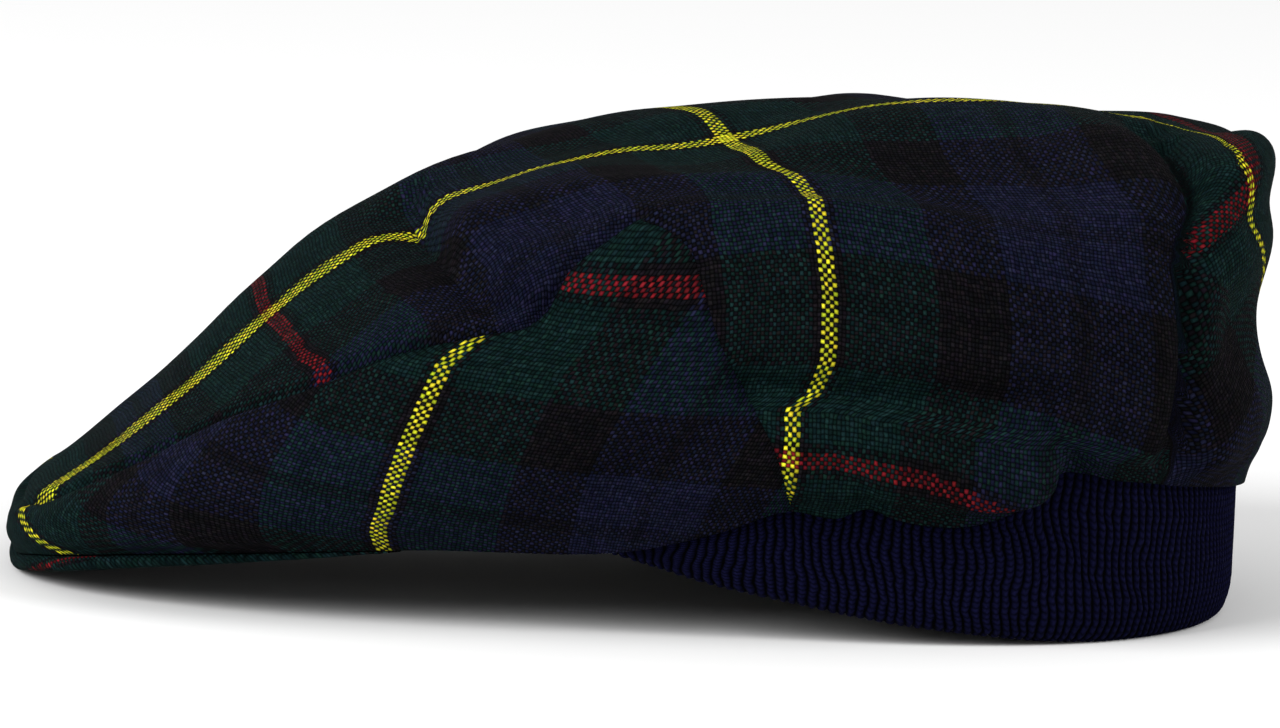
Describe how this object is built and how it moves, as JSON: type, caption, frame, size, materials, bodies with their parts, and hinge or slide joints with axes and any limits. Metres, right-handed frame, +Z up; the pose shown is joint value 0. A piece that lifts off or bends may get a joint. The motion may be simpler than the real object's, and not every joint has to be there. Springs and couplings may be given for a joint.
{
  "type": "flat cap",
  "caption": "Soft tartan flat cap: a top panel that wraps the back in loose folds, wedge side panels, a low stiff peak and a navy rib-knit band round the nape; worn on the head.",
  "frame": {"origin": "centre of the cap's bounding box on the surface it rests on", "axes": "+Y runs from the peak to the back of the cap, +X to the wearer's left, +Z up"},
  "size_m": [0.1942, 0.2786, 0.1118],
  "materials": {
    "tartan_top": "plain weave wool tartan in bottle green, navy and black with yellow and red lines",
    "tartan_side": "plain weave wool tartan in bottle green, navy and black with yellow and red lines",
    "tartan_peak": "the same tartan drawn tight over a stiff board",
    "navy_knit": "fine one by one rib knit in navy yarn"
  },
  "bodies": {
    "root": {"crown_top": "tartan_top", "side_panel_left": "tartan_side", "side_panel_right": "tartan_side", "peak": "tartan_peak", "knit_band": "navy_knit"}
  },
  "joints": []
}
